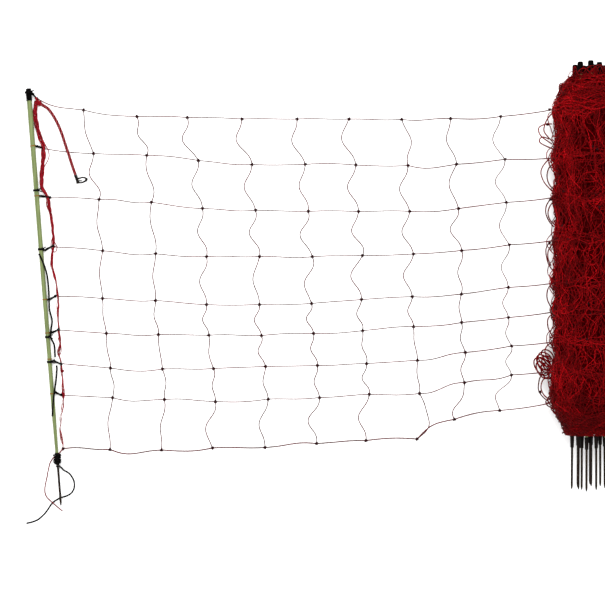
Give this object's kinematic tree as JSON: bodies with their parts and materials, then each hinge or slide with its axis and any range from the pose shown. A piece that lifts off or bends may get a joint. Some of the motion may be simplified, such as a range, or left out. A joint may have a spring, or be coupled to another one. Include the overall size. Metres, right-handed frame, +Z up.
{
  "type": "electric sheep netting",
  "caption": "Knotted electric sheep net lying on the floor, one end drawn out flat to its green end post and the rest rolled up round its posts.",
  "frame": {"origin": "middle of the roll's flat underside, on the floor", "axes": "+X from the end post towards the roll, +Y towards the caps of the posts, +Z up from the floor"},
  "size_m": [1.7829, 1.3339, 0.1877],
  "materials": {
    "green_plastic": "light green extruded rod, satin",
    "black_plastic": "black moulding, satin",
    "dark_plastic": "very dark brown moulding, satin",
    "spike_steel": "dull dark galvanised rod",
    "brown_band": "thin red-brown ring",
    "black_string": "black twisted string",
    "red_twine": "dark red polythene twine and rope",
    "net_twine": "red polythene twine with dark knots",
    "roll_netting": "tangle of dark red twine",
    "clip_steel": "dull grey-brown metal"
  },
  "bodies": {
    "root": {"end_post": "green_plastic", "end_post_cap": "black_plastic", "end_post_socket": "dark_plastic", "end_post_spike": "spike_steel", "post_band_2": "brown_band", "post_band_3": "brown_band", "post_band_4": "brown_band", "post_band_5": "brown_band", "post_band_6": "brown_band", "post_band_7": "brown_band", "post_band_8": "brown_band", "end_cord": "red_twine", "post_tie_1": "black_string", "post_tie_2": "black_string", "post_tie_3": "black_string", "post_tie_4": "black_string", "post_tie_5": "black_string", "post_tie_6": "black_string", "post_tie_7": "black_string", "post_tie_8": "black_string", "foot_tie": "black_string", "post_cord_upper": "black_string", "post_cord_lower": "black_string", "lead_rope": "red_twine", "foot_cord": "black_string", "tail_twine": "red_twine", "lead_clip": "clip_steel", "roll_core": "roll_netting", "roll_cap_1": "black_plastic", "roll_foot_1": "spike_steel", "roll_cap_2": "black_plastic", "roll_foot_2": "spike_steel", "roll_cap_3": "black_plastic", "roll_foot_3": "spike_steel", "roll_cap_4": "black_plastic", "roll_foot_4": "spike_steel", "roll_cap_5": "black_plastic", "roll_foot_5": "spike_steel", "roll_cap_6": "black_plastic", "roll_foot_6": "spike_steel", "roll_cap_7": "black_plastic", "roll_foot_7": "spike_steel", "roll_cap_8": "black_plastic", "roll_foot_8": "spike_steel", "roll_cap_9": "black_plastic", "roll_foot_9": "spike_steel", "roll_cap_10": "black_plastic", "roll_foot_10": "spike_steel", "roll_cap_11": "black_plastic", "roll_foot_11": "spike_steel", "roll_cap_12": "black_plastic", "roll_foot_12": "spike_steel", "roll_cap_13": "black_plastic", "roll_foot_13": "spike_steel", "netting": "net_twine"}
  },
  "joints": []
}
